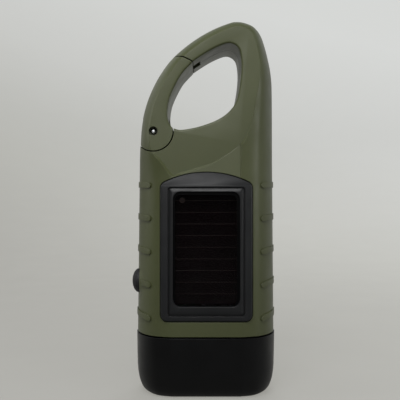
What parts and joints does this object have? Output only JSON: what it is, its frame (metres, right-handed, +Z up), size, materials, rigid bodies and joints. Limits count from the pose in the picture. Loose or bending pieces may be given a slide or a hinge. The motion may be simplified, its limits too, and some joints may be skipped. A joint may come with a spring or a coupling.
{
  "type": "hand crank flashlight",
  "caption": "Pocket flashlight with a solar panel, a snap-hook loop with a hinged gate, grip ribs, a push button and a folding hand crank that turns a geared generator.",
  "frame": {"origin": "middle of the footprint, on the surface that the lamp end stands on, halfway through the case's depth", "axes": "+Z up from the lamp end to the loop, +X to the right as seen from the solar panel, +Y to the back, where the crank is"},
  "size_m": [0.0521, 0.029, 0.1344],
  "materials": {
    "olive_plastic": "fine textured, olive drab",
    "black_plastic": "satin",
    "black_rubber": "matt",
    "clear_window": "clear, polished",
    "solar_glass": "very dark red-brown, glossy",
    "reflector_chrome": "mirror bright",
    "steel": "satin",
    "lamp_plastic": "clear to milky",
    "board_green": "lacquered",
    "nylon": "natural",
    "magnet_grey": "plain",
    "copper_wire": "enamelled",
    "lead_red": "smooth"
  },
  "bodies": {
    "case": {"front_shell": "olive_plastic", "back_shell": "olive_plastic", "gate_pin": "steel", "solar_bezel": "black_plastic", "solar_window": "clear_window", "solar_gasket": "black_rubber", "solar_cell": "solar_glass", "head_shell": "black_plastic", "lens": "clear_window", "lens_seal": "black_rubber", "reflector": "reflector_chrome", "lamp_board": "board_green", "lamp_left": "lamp_plastic", "lamp_centre": "lamp_plastic", "lamp_right": "lamp_plastic", "gear_plate": "nylon", "idler_axle_1": "steel", "idler_axle_2": "steel", "plate_screw_1": "steel", "plate_screw_2": "steel", "stator_bobbin": "nylon", "stator_coil": "copper_wire", "stator_yoke": "steel", "generator_cap": "steel", "crank_bush": "nylon", "main_board": "board_green", "charge_chip": "black_plastic", "rectifier": "black_plastic", "capacitor": "magnet_grey", "switch_body": "black_plastic", "battery_cell_1": "steel", "battery_cell_2": "steel", "battery_cell_3": "steel", "battery_tab_minus": "steel", "battery_tab_plus": "steel", "case_screw_1": "steel", "case_screw_2": "steel", "case_screw_3": "steel", "case_screw_4": "steel", "lamp_lead": "lead_red", "solar_lead": "lead_red", "generator_lead": "lead_red", "battery_lead": "lead_red"},
    "snap_gate": {"gate": "olive_plastic", "gate_spring": "steel"},
    "crank": {"crank_arm": "black_plastic", "crank_shaft": "steel", "crank_gear": "nylon", "crank_screw": "steel", "knob_hinge_pin": "steel"},
    "knob_mount": {"knob_block": "steel", "knob_spindle": "steel"},
    "crank_knob": {"knob": "black_plastic"},
    "first_idler": {"idler_gear_1": "nylon"},
    "second_idler": {"idler_gear_2": "nylon"},
    "rotor": {"rotor_pinion": "nylon", "rotor_shaft": "steel", "rotor_magnet": "magnet_grey"},
    "button": {"button_cap": "black_rubber", "switch_plunger": "nylon"}
  },
  "joints": [
    {"name": "gate_hinge", "type": "hinge", "parent": "case", "child": "snap_gate", "pos_m": [-0.0184, 0, 0.09368], "axis": [0, 1, 0], "range_deg": [0, 30], "stiffness_Nm_per_rad": 0.02, "springref_deg": -28.65},
    {"name": "crank_turn", "type": "hinge", "parent": "case", "child": "crank", "pos_m": [0, 0, 0.0568], "axis": [0, 1, 0], "continuous": true},
    {"name": "knob_fold", "type": "hinge", "parent": "crank", "child": "knob_mount", "pos_m": [0, 0.0109, 0.0813], "axis": [1, 0, 0], "range_deg": [0, 90]},
    {"name": "knob_spin", "type": "hinge", "parent": "knob_mount", "child": "crank_knob", "pos_m": [0, 0.0109, 0.0709], "axis": [0, 0, 1], "continuous": true},
    {"name": "first_idler_spin", "type": "hinge", "parent": "case", "child": "first_idler", "pos_m": [-0.00605, 0, 0.06977], "axis": [0, 1, 0], "continuous": true},
    {"name": "second_idler_spin", "type": "hinge", "parent": "case", "child": "second_idler", "pos_m": [0.00711, 0, 0.06862], "axis": [0, 1, 0], "continuous": true},
    {"name": "rotor_spin", "type": "hinge", "parent": "case", "child": "rotor", "pos_m": [0.00596, 0, 0.05546], "axis": [0, 1, 0], "continuous": true},
    {"name": "button_press", "type": "slide", "parent": "case", "child": "button", "axis": [1, 0, 0], "range_m": [0, 0.0012], "stiffness_N_per_m": 1500, "springref_m": -0.0004}
  ],
  "couplings": [
    {"joint": "first_idler_spin", "follows": "crank_turn", "ratio": -3.3333},
    {"joint": "second_idler_spin", "follows": "crank_turn", "ratio": 10},
    {"joint": "rotor_spin", "follows": "crank_turn", "ratio": -30}
  ]
}
